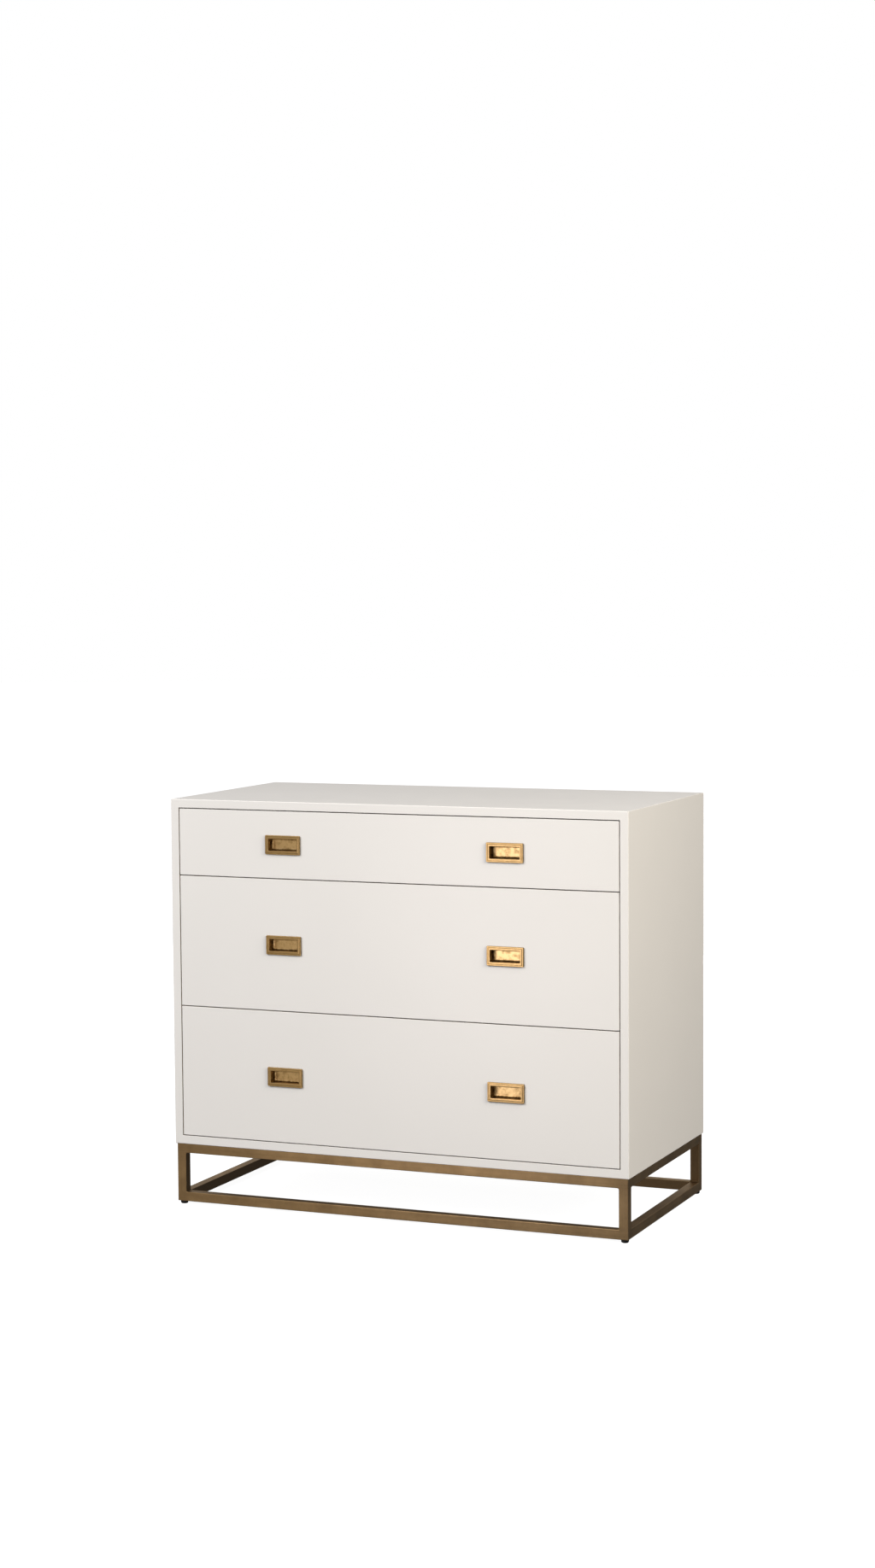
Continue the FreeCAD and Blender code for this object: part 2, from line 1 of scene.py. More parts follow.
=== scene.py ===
"""Looks of a three-drawer campaign chest: lacquered case, aged brass pulls, bronzed tube base.

Laid out as an add-on and run as a script. Everything is in metres, +Z up, the fronts face -Y.
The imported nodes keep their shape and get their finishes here. The six cast pulls, the welds in
the base's corners and the screws' cross recesses are modelled here.
"""

import math

import bmesh
import bpy
from bpy.props import FloatProperty, FloatVectorProperty, PointerProperty
from mathutils import Matrix, Vector


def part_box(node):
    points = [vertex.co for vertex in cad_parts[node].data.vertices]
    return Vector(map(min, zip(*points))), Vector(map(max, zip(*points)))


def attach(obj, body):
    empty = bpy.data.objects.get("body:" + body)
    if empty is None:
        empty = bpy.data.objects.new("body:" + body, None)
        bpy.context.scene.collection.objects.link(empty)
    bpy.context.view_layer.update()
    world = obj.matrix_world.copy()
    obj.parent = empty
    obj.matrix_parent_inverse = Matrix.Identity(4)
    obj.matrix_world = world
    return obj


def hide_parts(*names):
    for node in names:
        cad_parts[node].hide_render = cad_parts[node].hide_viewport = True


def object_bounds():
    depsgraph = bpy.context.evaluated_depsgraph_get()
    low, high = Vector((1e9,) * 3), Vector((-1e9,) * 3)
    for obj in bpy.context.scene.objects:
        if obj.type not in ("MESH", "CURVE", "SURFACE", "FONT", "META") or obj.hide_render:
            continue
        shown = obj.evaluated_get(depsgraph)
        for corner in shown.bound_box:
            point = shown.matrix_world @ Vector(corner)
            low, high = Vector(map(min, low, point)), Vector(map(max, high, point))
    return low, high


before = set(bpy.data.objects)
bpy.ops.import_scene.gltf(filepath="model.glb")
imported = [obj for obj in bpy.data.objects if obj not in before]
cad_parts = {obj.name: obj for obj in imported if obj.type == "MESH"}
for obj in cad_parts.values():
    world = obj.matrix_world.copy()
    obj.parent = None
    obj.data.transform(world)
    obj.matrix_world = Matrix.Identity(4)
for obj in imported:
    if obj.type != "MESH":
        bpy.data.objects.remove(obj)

bl_info = {
    "name": "Campaign chest",
    "version": (1, 0, 0),
    "blender": (4, 5, 0),
    "location": "View3D > Sidebar > Chest",
    "description": "Finishes, cast pulls, welds, screws and a studio for a three-drawer chest",
    "category": "Object",
}

MM = 0.001
CAD_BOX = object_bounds()
DRAWERS = ("top", "middle", "bottom")
SIDES = ("left", "right")
CASE_BOARDS = ("top_panel", "bottom_panel", "left_side_panel", "right_side_panel")
# A Mix node's two colour inputs and its colour output.
MIX_A, MIX_B, MIXED = 6, 7, 2
# The cosine above which a face counts as turned to an axis.
FACING = 0.9


def linear(hex_colour):
    """An sRGB hex colour as linear red, green, blue and alpha."""
    channels = [int(hex_colour[n:n + 2], 16) / 255 for n in (1, 3, 5)]
    return [c / 12.92 if c <= 0.04045 else ((c + 0.055) / 1.055) ** 2.4 for c in channels] + [1.0]


# ---------------------------------------------------------------- places read from the frame
FRONT_LOW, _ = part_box("top_drawer_front")
CASE_LOW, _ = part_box("left_side_panel")
RIGHT_LOW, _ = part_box("right_side_panel")
TOP_LOW, TOP_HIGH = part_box("top_panel")
PULL_LOW, PULL_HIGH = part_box("top_drawer_left_pull")
TUBE_LOW, TUBE_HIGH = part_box("base_bottom_front_tube")
TOP_TUBE_LOW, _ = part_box("base_top_front_tube")
LEG_LOW, LEG_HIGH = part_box("base_legs")
BOARD = TOP_HIGH.z - TOP_LOW.z
TUBE = TUBE_HIGH.z - TUBE_LOW.z


# ---------------------------------------------------------------- what a user would change
def colour(name, about, hex_colour):
    """A colour property."""
    return FloatVectorProperty(name=name, description=about, subtype="COLOR", size=4,
                               min=0.0, max=1.0, default=linear(hex_colour))


def length(name, about, millimetres):
    """A length property."""
    return FloatProperty(name=name, description=about, unit="LENGTH", default=millimetres * MM)


def share(name, about, value):
    """A property from nought to one."""
    return FloatProperty(name=name, description=about, subtype="FACTOR", min=0.0, max=1.0, default=value)


class ChestFinishes(bpy.types.PropertyGroup):
    lacquer: colour("Lacquer", "Off-white catalysed lacquer on the case and fronts", "#E7E3DF")
    lacquer_roughness: share("Lacquer roughness", "How far the lacquer was rubbed from gloss", 0.38)
    # Painted shade: this darker tone goes on the fronts' upper and lower edges and stands for the shade in
    # the gaps between drawers.
    gap_shade_coat: colour("Thin coat", "Lacquer on the fronts' upper and lower edges", "#CCC2B2")
    bare_board: colour("Bare board", "Unlacquered fibreboard inside the case", "#7D6749")
    paint: colour("Back paint", "Roller-coated paint on the thin back", "#D9D2C5")
    bronze: colour("Bronzed plate", "Darkened brass plate on the base", "#CEAD80")
    # Painted highlight as well as wear: this brighter brass goes on every rounded edge of the base.
    bronze_worn_highlight: colour("Worn plate", "Brass where the base's edges are rubbed", "#F0D298")
    # Random dark patches, and also painted shade on the faces turned to the base's middle.
    bronze_dark_and_shade: colour("Dark plate", "Thick bronze tone in the base's corners", "#5A4630")
    brass: colour("Cast brass", "Rubbed metal of the pulls", "#F2D096")
    brass_deep: colour("Deep brass", "Half-rubbed metal of the pulls", "#B08D58")
    # Real tarnish, and also painted shade where it darkens the cup's walls and corners.
    patina_and_shade: colour("Patina", "Dark wax and tarnish in the pulls' hollows", "#4A3520")
    maple_pale: colour("Maple", "Early wood of the drawer boxes", "#DCC19A")
    maple_dark: colour("Maple line", "Growth lines of the drawer boxes", "#B98F60")
    birch_pale: colour("Birch", "Face veneer of the drawer bottoms", "#E2CCA6")
    birch_dark: colour("Birch line", "Figure in the birch veneer", "#C6A577")
    zinc: colour("Zinc plate", "Bright zinc of slides and screws", "#CDD0D2")
    zinc_dull: colour("Dulled zinc", "Greased and rubbed zinc", "#A3A6A9")
    nylon: colour("Black nylon", "Moulded glides under the base", "#141312")


class PullSizes(bpy.types.PropertyGroup):
    corner: length("Corner", "Radius of the plate's corners", 2.2)
    bevel: length("Bevel", "Width of the bevel round the plate", 1.0)
    groove: length("Groove", "Width of the chased line inside the bevel", 0.7)
    groove_depth: length("Groove depth", "Depth of the chased line", 0.1)
    step: length("Step", "Height of the inner rim above the bevelled band", 0.16)
    border: length("Border", "Width from the plate's edge to the cup's mouth", 7.5)
    mouth_round: length("Mouth round", "Radius of the rim's inner edge", 0.5)
    mouth_corner: length("Mouth corner", "Radius of the mouth's corners", 1.2)
    cup_corner: length("Cup corner", "Radius of the cup's corners low down", 5.0)
    cup_round: length("Cup round", "Radius between the cup's walls and its back", 3.4)
    cup_floor: length("Cup back", "Thickness of the cup's back", 1.5)
    cup_wall: length("Cup wall", "Thickness of the cup's walls", 2.5)
    cup_depth: length("Cup depth", "How far the cup goes into the front", 15.0)
    unevenness: length("Unevenness", "How far the sand-cast skin wanders", 0.28)
    boss_radius: length("Boss radius", "Radius of the screw bosses", 3.5)
    boss_hole: length("Boss hole", "Radius of the bosses' threaded holes", 1.8)
    boss_spacing: length("Boss spacing", "Distance between the two bosses", 44.0)


class FittingSizes(bpy.types.PropertyGroup):
    weld_radius: length("Weld radius", "Radius of the ground welds in the base's corners", 3.0)
    recess_width: length("Recess width", "Width across a screw's cross recess", 3.4)
    recess_slot: length("Recess slot", "Width of one slot of the cross", 0.9)
    recess_depth: length("Recess depth", "Depth of the cross recess", 1.3)


class StudioSettings(bpy.types.PropertyGroup):
    camera_place: FloatVectorProperty(name="Camera", description="Where the camera stands",
                                      subtype="TRANSLATION", unit="LENGTH", default=(2.2590, -5.4245, 1.3310))
    camera_azimuth: FloatProperty(name="Azimuth", description="Turn of the view, anticlockwise from above",
                                  subtype="ANGLE", default=math.radians(22.627))
    camera_elevation: FloatProperty(name="Elevation", description="How far the view looks down",
                                    subtype="ANGLE", default=math.radians(4.283))
    camera_roll: FloatProperty(name="Roll", description="Lean of the camera", subtype="ANGLE",
                               default=math.radians(-0.395))
    lens: FloatProperty(name="Lens", description="Focal length on a 36 mm high sensor", unit="CAMERA",
                        default=63.81)
    floor_colour: colour("Floor", "Pale studio paper", "#919191")
    floor_glow: share("Floor glow", "Light that comes up through the paper", 0.94)
    floor_radius: FloatProperty(name="Floor radius", description="Radius of the studio floor", unit="LENGTH",
                                default=30.0)


# ---------------------------------------------------------------- node helpers
def feed(tree, node, links):
    """Sets a node's inputs to values, or links them to sockets or to the first outputs of nodes."""
    for key, value in links.items():
        if isinstance(value, bpy.types.Node):
            value = value.outputs[0]
        if isinstance(value, bpy.types.NodeSocket):
            tree.links.new(value, node.inputs[key])
        else:
            node.inputs[key].default_value = value


# Inputs by number: a Map Range takes its value at 0, the range it reads at 1 and 2 and the range
# it gives at 3 and 4. A Mix takes its factor at 0, numbers at 2 and 3 and vectors at 4 and 5.
def put(tree, kind, links=None, **settings):
    """Adds a node with its own settings, and feeds its inputs."""
    node = tree.nodes.new("ShaderNode" + kind)
    for name, value in settings.items():
        setattr(node, name, value)
    feed(tree, node, links or {})
    return node


def finish_named(name):
    """A new material's node tree, its shader and the Object coordinates that every pattern reads."""
    material = bpy.data.materials.new(name)
    material.use_nodes = True
    tree = material.node_tree
    tree.nodes.clear()
    shader = put(tree, "BsdfPrincipled")
    put(tree, "OutputMaterial", {"Surface": shader})
    place = put(tree, "TexCoord").outputs["Object"]
    return material, tree, shader, place


def drawn_out(axis, shrink):
    """The scale that shrinks coordinates along one axis, so that a pattern runs along it in lines."""
    return [shrink if letter == axis else 1.0 for letter in "XYZ"]


def dress(material, *names):
    """Puts a finish on CAD nodes."""
    for name in names:
        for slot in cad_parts[name].material_slots:
            slot.material = material


def per_metre(millimetres):
    """The texture scale that gives features of a size."""
    return 1.0 / (millimetres * MM)


# ---------------------------------------------------------------- finishes
def sprayed_lacquer(name, colours, bare_inside):
    """Catalysed lacquer sprayed on fibreboard and rubbed to satin.

    It gives a warm white with a soft sheen. Faint orange peel from the spray gun ripples what it
    mirrors, and rubbing leaves the gloss a little uneven. Inside the case the board is bare. The
    fronts' upper and lower edges are painted darker as the shade in the gaps between drawers.
    """
    material, tree, shader, place = finish_named(name)
    cloud = put(tree, "TexNoise", {"Vector": place, "Scale": per_metre(180), "Detail": 3.0, "Roughness": 0.5})
    shade = put(tree, "HueSaturation", {
        "Color": colours.lacquer, "Value": put(tree, "MapRange", {0: cloud, 3: 0.985, 4: 1.012}),
    })
    rub = put(tree, "TexNoise", {"Vector": place, "Scale": per_metre(35), "Detail": 4.0, "Roughness": 0.6})
    gloss = colours.lacquer_roughness
    rough = put(tree, "MapRange", {0: rub, 3: gloss - 0.06, 4: gloss + 0.08})
    peel = put(tree, "TexNoise", {"Vector": place, "Scale": per_metre(7), "Detail": 0.0})
    swell = put(tree, "TexNoise", {"Vector": place, "Scale": per_metre(60), "Detail": 0.0})
    slow = put(tree, "Bump", {"Height": swell, "Strength": 0.05, "Distance": 1.0 * MM})
    ripple = put(tree, "Bump", {"Height": peel, "Strength": 0.15, "Distance": 0.06 * MM, "Normal": slow})
    if bare_inside:
        bare = inside_case(tree, place)
        fibre = put(tree, "TexNoise", {"Vector": place, "Scale": per_metre(1.2), "Detail": 5.0})
        board = put(tree, "HueSaturation", {
            "Color": colours.bare_board, "Value": put(tree, "MapRange", {0: fibre, 3: 0.85, 4: 1.1}),
        })
        base = put(tree, "Mix", {0: bare, MIX_A: shade, MIX_B: board}, data_type="RGBA")
        rough = put(tree, "Mix", {0: bare, 2: rough, 3: 0.8})
    else:
        # Painted shade on the fronts' upper and lower edges, for the dark of the gaps between drawers.
        thin = front_edge_shade(tree, place)
        base = put(tree, "Mix", {0: thin, MIX_A: shade, MIX_B: colours.gap_shade_coat}, data_type="RGBA")
    feed(tree, shader, {
        "Base Color": base.outputs[MIXED], "Roughness": rough, "Normal": ripple, "IOR": 1.5,
        "Coat Weight": 0.12, "Coat Roughness": 0.25,
    })
    return material


def front_edge_shade(tree, place):
    """One on a front's upper and lower edges behind its rounded rim, where a darker tone is painted as the
    shade in the gaps between drawers.
    """
    rim = 1.2 * MM
    depth = put(tree, "SeparateXYZ", {0: place}).outputs[1]
    behind = put(tree, "MapRange", {0: depth, 1: FRONT_LOW.y + rim, 2: FRONT_LOW.y + 2 * rim})
    normal = put(tree, "SeparateXYZ", {0: put(tree, "NewGeometry").outputs["True Normal"]})
    steep = put(tree, "Math", {0: normal.outputs[2]}, operation="ABSOLUTE")
    flat = put(tree, "Math", {0: steep, 1: FACING}, operation="GREATER_THAN")
    return put(tree, "Math", {0: behind, 1: flat}, operation="MULTIPLY")


def inside_case(tree, place):
    """One where the case's inner faces lie deeper than the lacquer was sprayed, else nought."""
    across, back, up = put(tree, "SeparateXYZ", {0: place}).outputs[:3]
    lacquered_lip, slack = 1 * MM, 0.3 * MM
    beside = put(tree, "Math", {0: across}, operation="ABSOLUTE")
    wide = put(tree, "Math", {0: beside, 1: RIGHT_LOW.x + slack}, operation="LESS_THAN")
    middle = (TOP_LOW.z + CASE_LOW.z + BOARD) / 2
    reach = (TOP_LOW.z - CASE_LOW.z - BOARD) / 2 + slack
    offset = put(tree, "Math", {0: up, 1: middle}, operation="SUBTRACT")
    above = put(tree, "Math", {0: offset}, operation="ABSOLUTE")
    tall = put(tree, "Math", {0: above, 1: reach}, operation="LESS_THAN")
    deep = put(tree, "Math", {0: back, 1: CASE_LOW.y + lacquered_lip}, operation="GREATER_THAN")
    both = put(tree, "Math", {0: wide, 1: tall}, operation="MULTIPLY")
    return put(tree, "Math", {0: both, 1: deep}, operation="MULTIPLY")


def rolled_paint(name, colours):
    """Thin hardboard back, roller-coated: a flat warm white with the roller's fine stipple."""
    material, tree, shader, place = finish_named(name)
    cloud = put(tree, "TexNoise", {"Vector": place, "Scale": per_metre(90), "Detail": 4.0})
    shade = put(tree, "HueSaturation", {
        "Color": colours.paint, "Value": put(tree, "MapRange", {0: cloud, 3: 0.96, 4: 1.03}),
    })
    stipple = put(tree, "TexNoise", {"Vector": place, "Scale": per_metre(1.8), "Detail": 3.0})
    bump = put(tree, "Bump", {"Height": stipple, "Strength": 0.35, "Distance": 0.2 * MM})
    feed(tree, shader, {"Base Color": shade, "Normal": bump, "Roughness": 0.55})
    return material


def planed_wood(name, pale, dark, axis, line_mm, roughness):
    """Clear-finished board sawn along one axis.

    Growth lines run the board's length and bend round slow figure, with short fine pores between
    them. The same pattern cut across shows as end grain in the dovetails.
    """
    material, tree, shader, place = finish_named(name)
    along = put(tree, "Mapping", {"Vector": place, "Scale": drawn_out(axis, 0.045)})
    figure = put(tree, "TexNoise", {
        "Vector": along, "Scale": per_metre(38), "Detail": 3.0, "Roughness": 0.55,
    })
    bent = put(tree, "VectorMath", {0: figure.outputs[1], 1: (0.035, 0.035, 0.035)}, operation="MULTIPLY")
    moved = put(tree, "VectorMath", {0: along, 1: bent}, operation="ADD")
    scale = per_metre(line_mm)
    lines = put(tree, "TexNoise", {"Vector": moved, "Scale": scale, "Detail": 6.0, "Roughness": 0.62})
    tone = put(tree, "MapRange", {0: lines, 1: 0.36, 2: 0.66, 4: 0.8})
    base = put(tree, "Mix", {0: tone, MIX_A: pale, MIX_B: dark}, data_type="RGBA")
    pores = put(tree, "TexNoise", {"Vector": along, "Scale": per_metre(0.9), "Detail": 2.0})
    bump = put(tree, "Bump", {"Height": pores, "Strength": 0.2, "Distance": 0.1 * MM})
    rough = put(tree, "MapRange", {0: lines, 3: roughness - 0.05, 4: roughness + 0.08})
    feed(tree, shader, {"Base Color": base.outputs[MIXED], "Roughness": rough, "Normal": bump})
    return material


def bronzed_plate(name, colours, axis):
    """Brass plate on steel tube, darkened, brushed along the tube and waxed.

    The brushing leaves long fine streaks. The tone is cloudy, darker in patches, and darker still on
    faces turned to the base's middle as painted shade. The brass shows again where the tube's edges
    were rubbed, painted brighter there as a highlight too.
    """
    material, tree, shader, place = finish_named(name)
    along = put(tree, "Mapping", {"Vector": place, "Scale": drawn_out(axis, 0.012)})
    # Real brush lines are finer than a tenth of a millimetre, so these are drawn coarser to show.
    fine = put(tree, "TexNoise", {"Vector": along, "Scale": per_metre(0.7), "Detail": 4.0, "Roughness": 0.7})
    broad = put(tree, "TexNoise", {"Vector": along, "Scale": per_metre(6), "Detail": 3.0})
    cloud = put(tree, "TexNoise", {"Vector": place, "Scale": per_metre(55), "Detail": 4.0, "Roughness": 0.6})
    streak = put(tree, "Mix", {0: 0.45, 2: fine, 3: broad})
    tone = put(tree, "MapRange", {0: streak, 1: 0.3, 2: 0.7, 3: 0.86, 4: 1.14})
    patch = put(tree, "MapRange", {0: cloud, 1: 0.3, 2: 0.7, 3: 0.35, 4: 0.0})
    plate = put(tree, "HueSaturation", {"Color": colours.bronze, "Value": tone})
    # Painted shade on the faces turned to the base's middle, joined with the random dark patches.
    dark_patch_and_shade = put(tree, "Math", {0: patch, 1: inner_face_shade(tree, place)}, operation="MAXIMUM")
    toned = put(tree, "Mix", {0: dark_patch_and_shade, MIX_A: plate, MIX_B: colours.bronze_dark_and_shade}, data_type="RGBA")
    soft = put(tree, "Bevel", {"Radius": 1.3 * MM}, samples=6)
    clear = away_from_welds(tree, place)
    # Rubbed edges: real wear, and also a painted highlight along every rounded edge.
    worn_highlight = put(tree, "Math", {0: rubbed_highlit_edges(tree, place, soft), 1: clear}, operation="MULTIPLY")
    plain = put(tree, "NewGeometry").outputs["Normal"]
    skin = put(tree, "Mix", {0: clear, 4: plain, 5: soft}, data_type="VECTOR")
    toned = toned.outputs[MIXED]
    base = put(tree, "Mix", {0: worn_highlight, MIX_A: toned, MIX_B: colours.bronze_worn_highlight}, data_type="RGBA")
    rough = put(tree, "MapRange", {0: streak, 1: 0.3, 2: 0.7, 3: 0.37, 4: 0.46})
    bump = put(tree, "Bump", {
        "Height": fine, "Strength": 0.12, "Distance": 0.06 * MM, "Normal": skin.outputs[1],
    })
    feed(tree, shader, {
        "Base Color": base.outputs[MIXED], "Roughness": rough, "Normal": bump, "Metallic": 1.0,
    })
    return material


def inner_face_shade(tree, place):
    """How much painted shade darkens the faces turned to the base's middle, which the case keeps from the
    light.
    """
    level = put(tree, "VectorMath", {0: place, 1: (1.0, 1.0, 0.0)}, operation="MULTIPLY")
    outwards = put(tree, "VectorMath", {0: level}, operation="NORMALIZE")
    normal = put(tree, "NewGeometry").outputs["True Normal"]
    facing = put(tree, "VectorMath", {0: normal, 1: outwards}, operation="DOT_PRODUCT").outputs["Value"]
    return put(tree, "MapRange", {0: facing, 1: -0.2, 2: -0.4, 4: 0.7})


def away_from_welds(tree, place):
    """Nought where a leg meets the rings, which were filled and ground flush, and one elsewhere."""
    across, _, up = put(tree, "SeparateXYZ", {0: place}).outputs[:3]
    half = put(tree, "Math", {0: across}, operation="ABSOLUTE")
    corner = put(tree, "Math", {0: half, 1: LEG_HIGH.x - TUBE - MM}, operation="GREATER_THAN")
    near = [put(tree, "Math", {0: up, 1: joint, 2: 2.6 * MM}, operation="COMPARE")
            for joint in (LEG_LOW.z + MM, LEG_HIGH.z - MM)]
    joints = put(tree, "Math", {0: near[0], 1: near[1]}, operation="ADD")
    welded = put(tree, "Math", {0: joints, 1: corner}, operation="MULTIPLY")
    return put(tree, "Math", {0: 1.0, 1: welded}, operation="SUBTRACT")


def rubbed_highlit_edges(tree, place, soft):
    """How far an edge is rubbed, and how much highlight is painted on it: the turn of a rounded normal,
    broken up by handling marks.
    """
    true = put(tree, "NewGeometry").outputs["True Normal"]
    turn = put(tree, "VectorMath", {0: soft, 1: true}, operation="DOT_PRODUCT")
    edge = put(tree, "MapRange", {0: turn.outputs["Value"], 1: 0.995, 2: 0.86})
    marks = put(tree, "TexNoise", {"Vector": place, "Scale": per_metre(14), "Detail": 5.0, "Roughness": 0.65})
    broken = put(tree, "MapRange", {0: marks, 1: 0.38, 2: 0.62, 3: 0.25, 4: 1.0})
    return put(tree, "Math", {0: edge, 1: broken}, operation="MULTIPLY")


def aged_cast_brass(name, colours):
    """Sand-cast yellow brass, chemically aged, rubbed back on its high parts and waxed.

    Rims shine gold with fine file lines, the cup's back is a mottled gold with the grain of the
    sand, and dark tarnish stays in the corners and the chased line. In the cup's walls and lower
    corners that dark is painted shade as well as tarnish.
    """
    material, tree, shader, place = finish_named(name)
    # Low rub in the cup's walls and corners is tarnish and also painted shade.
    rub = put(tree, "Attribute", attribute_name="rubbed").outputs["Fac"]
    mottle = put(tree, "TexNoise", {"Vector": place, "Scale": per_metre(7), "Detail": 6.0, "Roughness": 0.62})
    grain = put(tree, "TexNoise", {"Vector": place, "Scale": per_metre(1.1), "Detail": 4.0, "Roughness": 0.6})
    filed = put(tree, "Attribute", attribute_name="filed").outputs["Fac"]
    blotch = put(tree, "MapRange", {0: mottle, 1: 0.34, 2: 0.66, 3: -0.34, 4: 0.3})
    wander = put(tree, "MapRange", {0: filed, 3: 1.0, 4: 0.3})
    level = put(tree, "Math", {0: blotch, 1: wander, 2: rub}, operation="MULTIPLY_ADD")
    low = put(tree, "MapRange", {0: level, 1: 0.05, 2: 0.5})
    high = put(tree, "MapRange", {0: level, 1: 0.45, 2: 1.05})
    half = put(tree, "Mix", {0: low, MIX_A: colours.patina_and_shade, MIX_B: colours.brass_deep}, data_type="RGBA")
    base = put(tree, "Mix", {0: high, MIX_A: half.outputs[MIXED], MIX_B: colours.brass}, data_type="RGBA")
    cast = put(tree, "MapRange", {0: level, 3: 0.55, 4: 0.3})
    smooth_metal = put(tree, "MapRange", {0: level, 3: 0.42, 4: 0.25})
    rough = put(tree, "Mix", {0: filed, 2: cast, 3: smooth_metal})
    skin = put(tree, "Bump", {"Height": mottle, "Strength": 0.3, "Distance": 0.5 * MM})
    bump = put(tree, "Bump", {"Height": grain, "Strength": 0.3, "Distance": 0.12 * MM, "Normal": skin})
    feed(tree, shader, {
        "Base Color": base.outputs[MIXED], "Roughness": rough, "Normal": bump, "Metallic": 1.0,
    })
    return material


def zinc_plate(name, colours, axis, grease):
    """Bright zinc on rolled steel: cool grey, drawn lines along the strip, duller where greased."""
    material, tree, shader, place = finish_named(name)
    along = put(tree, "Mapping", {"Vector": place, "Scale": drawn_out(axis, 0.02)})
    lines = put(tree, "TexNoise", {"Vector": along, "Scale": per_metre(0.8), "Detail": 3.0})
    cloud = put(tree, "TexNoise", {"Vector": place, "Scale": per_metre(20), "Detail": 4.0})
    dull = put(tree, "MapRange", {0: cloud, 1: 0.35, 2: 0.65, 3: 0.1 + grease, 4: 0.5 + grease})
    base = put(tree, "Mix", {0: dull, MIX_A: colours.zinc, MIX_B: colours.zinc_dull}, data_type="RGBA")
    rough = put(tree, "MapRange", {0: lines, 3: 0.24 + 0.2 * grease, 4: 0.42 + 0.2 * grease})
    bump = put(tree, "Bump", {"Height": lines, "Strength": 0.2, "Distance": 0.05 * MM})
    feed(tree, shader, {
        "Base Color": base.outputs[MIXED], "Roughness": rough, "Normal": bump, "Metallic": 0.7,
    })
    return material


def moulded_nylon(name, colours):
    """Black nylon from a spark-eroded mould: a soft even texture with scuffs near the floor."""
    material, tree, shader, place = finish_named(name)
    texture = put(tree, "TexNoise", {"Vector": place, "Scale": per_metre(0.5), "Detail": 3.0})
    scuff = put(tree, "TexNoise", {"Vector": place, "Scale": per_metre(5), "Detail": 5.0, "Roughness": 0.7})
    shade = put(tree, "HueSaturation", {
        "Color": colours.nylon,
        "Value": put(tree, "MapRange", {0: scuff, 1: 0.4, 2: 0.75, 3: 0.9, 4: 2.2}),
    })
    bump = put(tree, "Bump", {"Height": texture, "Strength": 0.3, "Distance": 0.08 * MM})
    rough = put(tree, "MapRange", {0: scuff, 3: 0.38, 4: 0.6})
    feed(tree, shader, {"Base Color": shade, "Roughness": rough, "Normal": bump, "IOR": 1.53})
    return material


# ---------------------------------------------------------------- modelling helpers
def pick(*pieces):
    """Leaves edit mode with only these pieces selected and the first of them active."""
    if bpy.context.object and bpy.context.object.mode != "OBJECT":
        bpy.ops.object.mode_set(mode="OBJECT")
    bpy.ops.object.select_all(action="DESELECT")
    for piece in pieces:
        piece.select_set(True)
    if pieces:
        bpy.context.view_layer.objects.active = pieces[0]


def edit_mesh():
    """The active object's mesh in edit mode."""
    return bmesh.from_edit_mesh(bpy.context.edit_object.data)


def select_where(test, kind="verts"):
    """Selects the edited mesh's parts that pass a test, and only those."""
    modes = {"verts": "VERT", "edges": "EDGE", "faces": "FACE"}
    bpy.ops.mesh.select_mode(type=modes[kind])
    bpy.ops.mesh.select_all(action="DESELECT")
    mesh = edit_mesh()
    mesh.verts.index_update()
    for part in getattr(mesh, kind):
        if test(part):
            part.select_set(True)
    mesh.select_flush_mode()
    bmesh.update_edit_mesh(bpy.context.edit_object.data)


def settle(piece):
    """Puts a piece's place into its mesh, so that its object sits at the origin."""
    pick(piece)
    bpy.ops.object.transform_apply(location=True, rotation=True, scale=True)


def add_modifier(piece, kind, **settings):
    """Adds a modifier and applies it."""
    pick(piece)
    modifier = piece.modifiers.new(kind.title(), kind)
    for name, value in settings.items():
        setattr(modifier, name, value)
    bpy.ops.object.modifier_apply(modifier=modifier.name)


def smooth(piece, degrees):
    """Smooth shading that keeps edges sharper than an angle."""
    pick(piece)
    bpy.ops.object.shade_smooth_by_angle(angle=math.radians(degrees))


def joined(pieces, name):
    """Several objects as one mesh."""
    pick(*pieces)
    bpy.ops.object.join()
    whole = bpy.context.object
    whole.name = name
    whole.data.name = name
    return whole


def copied(piece, name, matrix):
    """A copy of a piece with its own mesh, moved by a matrix."""
    twin = piece.copy()
    twin.data = piece.data.copy()
    twin.name = name
    twin.data.name = name
    twin.data.transform(matrix)
    bpy.context.scene.collection.objects.link(twin)
    return twin


def give(piece, material):
    """A piece's only finish."""
    piece.data.materials.clear()
    piece.data.materials.append(material)


